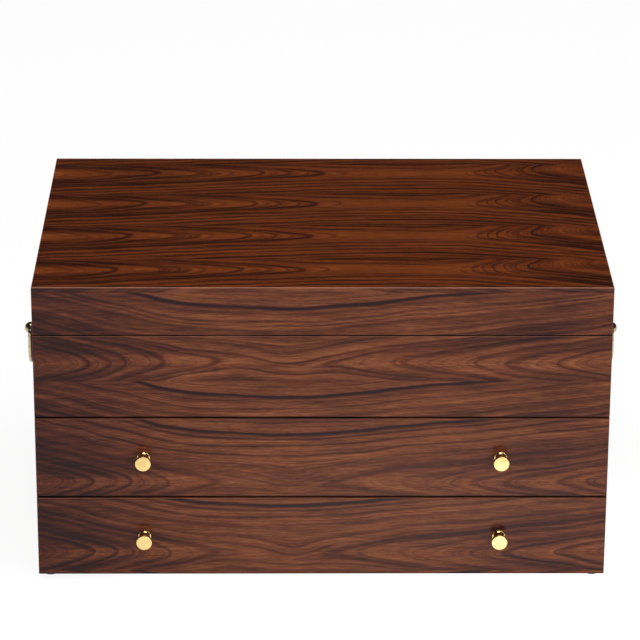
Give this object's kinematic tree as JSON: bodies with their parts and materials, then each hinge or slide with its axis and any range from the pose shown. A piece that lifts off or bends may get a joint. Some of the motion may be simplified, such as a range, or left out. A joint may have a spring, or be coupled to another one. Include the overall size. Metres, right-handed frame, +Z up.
{
  "type": "jewellery chest",
  "caption": "Wooden jewellery chest with a hinged lid over a lined compartment, drawers with round knobs below it, and a bail handle on each side.",
  "frame": {"origin": "on the table, at the centre of the base of the whole chest's bounding box", "axes": "+X to the right as seen from the front, +Y to the back, +Z up"},
  "size_m": [0.4464, 0.3106, 0.2327],
  "materials": {
    "walnut": "satin lacquered figured veneer",
    "plain_wood": "sealed straight-grained boards",
    "suede": "short suede nap",
    "padded_suede": "suede over foam",
    "brass": "polished and lacquered, brushed faces",
    "steel": "zinc plated",
    "mirror": "silvered glass",
    "rubber": "matt"
  },
  "bodies": {
    "case": {"case_side_left": "walnut", "case_side_right": "walnut", "case_back": "walnut", "case_bottom": "plain_wood", "drawer_shelf": "plain_wood", "compartment_floor": "plain_wood", "upper_front": "walnut", "drawer_runners": "plain_wood", "drawer_stops": "plain_wood", "rubber_feet": "rubber", "lid_bumpers": "rubber", "compartment_lining": "suede", "compartment_dividers": "suede", "compartment_ring_rolls": "padded_suede", "left_handle_posts": "brass", "right_handle_posts": "brass", "handle_nuts": "steel", "hinge_case_leaves": "brass", "hinge_pins": "brass", "hinge_case_screws": "brass"},
    "lid": {"lid_top": "walnut", "lid_front": "walnut", "lid_side_left": "walnut", "lid_side_right": "walnut", "lid_back": "walnut", "lid_lining": "suede", "lid_pad": "suede", "lid_mirror": "mirror", "hinge_lid_leaves": "brass", "hinge_lid_screws": "brass"},
    "upper_drawer": {"upper_drawer_front": "walnut", "upper_drawer_side_left": "plain_wood", "upper_drawer_side_right": "plain_wood", "upper_drawer_back": "plain_wood", "upper_drawer_bottom": "plain_wood", "upper_drawer_lining": "suede", "upper_drawer_dividers": "suede", "upper_drawer_knob_left": "brass", "upper_drawer_knob_right": "brass", "upper_drawer_knob_screws": "steel", "upper_drawer_ring_rolls": "padded_suede"},
    "lower_drawer": {"lower_drawer_front": "walnut", "lower_drawer_side_left": "plain_wood", "lower_drawer_side_right": "plain_wood", "lower_drawer_back": "plain_wood", "lower_drawer_bottom": "plain_wood", "lower_drawer_lining": "suede", "lower_drawer_dividers": "suede", "lower_drawer_knob_left": "brass", "lower_drawer_knob_right": "brass", "lower_drawer_knob_screws": "steel"},
    "left_bail": {"left_handle_bail": "brass"},
    "right_bail": {"right_handle_bail": "brass"}
  },
  "joints": [
    {"name": "lid_hinge", "type": "hinge", "parent": "case", "child": "lid", "pos_m": [0, 0.1515, 0.1954], "axis": [-1, 0, 0], "range_deg": [0, 100]},
    {"name": "upper_drawer_slide", "type": "slide", "parent": "case", "child": "upper_drawer", "axis": [0, -1, 0], "range_m": [0, 0.19]},
    {"name": "lower_drawer_slide", "type": "slide", "parent": "case", "child": "lower_drawer", "axis": [0, -1, 0], "range_m": [0, 0.19]},
    {"name": "left_bail_swing", "type": "hinge", "parent": "case", "child": "left_bail", "pos_m": [-0.2187, 0.0027, 0.16335], "axis": [0, 1, 0], "range_deg": [-10, 190]},
    {"name": "right_bail_swing", "type": "hinge", "parent": "case", "child": "right_bail", "pos_m": [0.2187, 0.0027, 0.16335], "axis": [0, -1, 0], "range_deg": [-10, 190]}
  ]
}
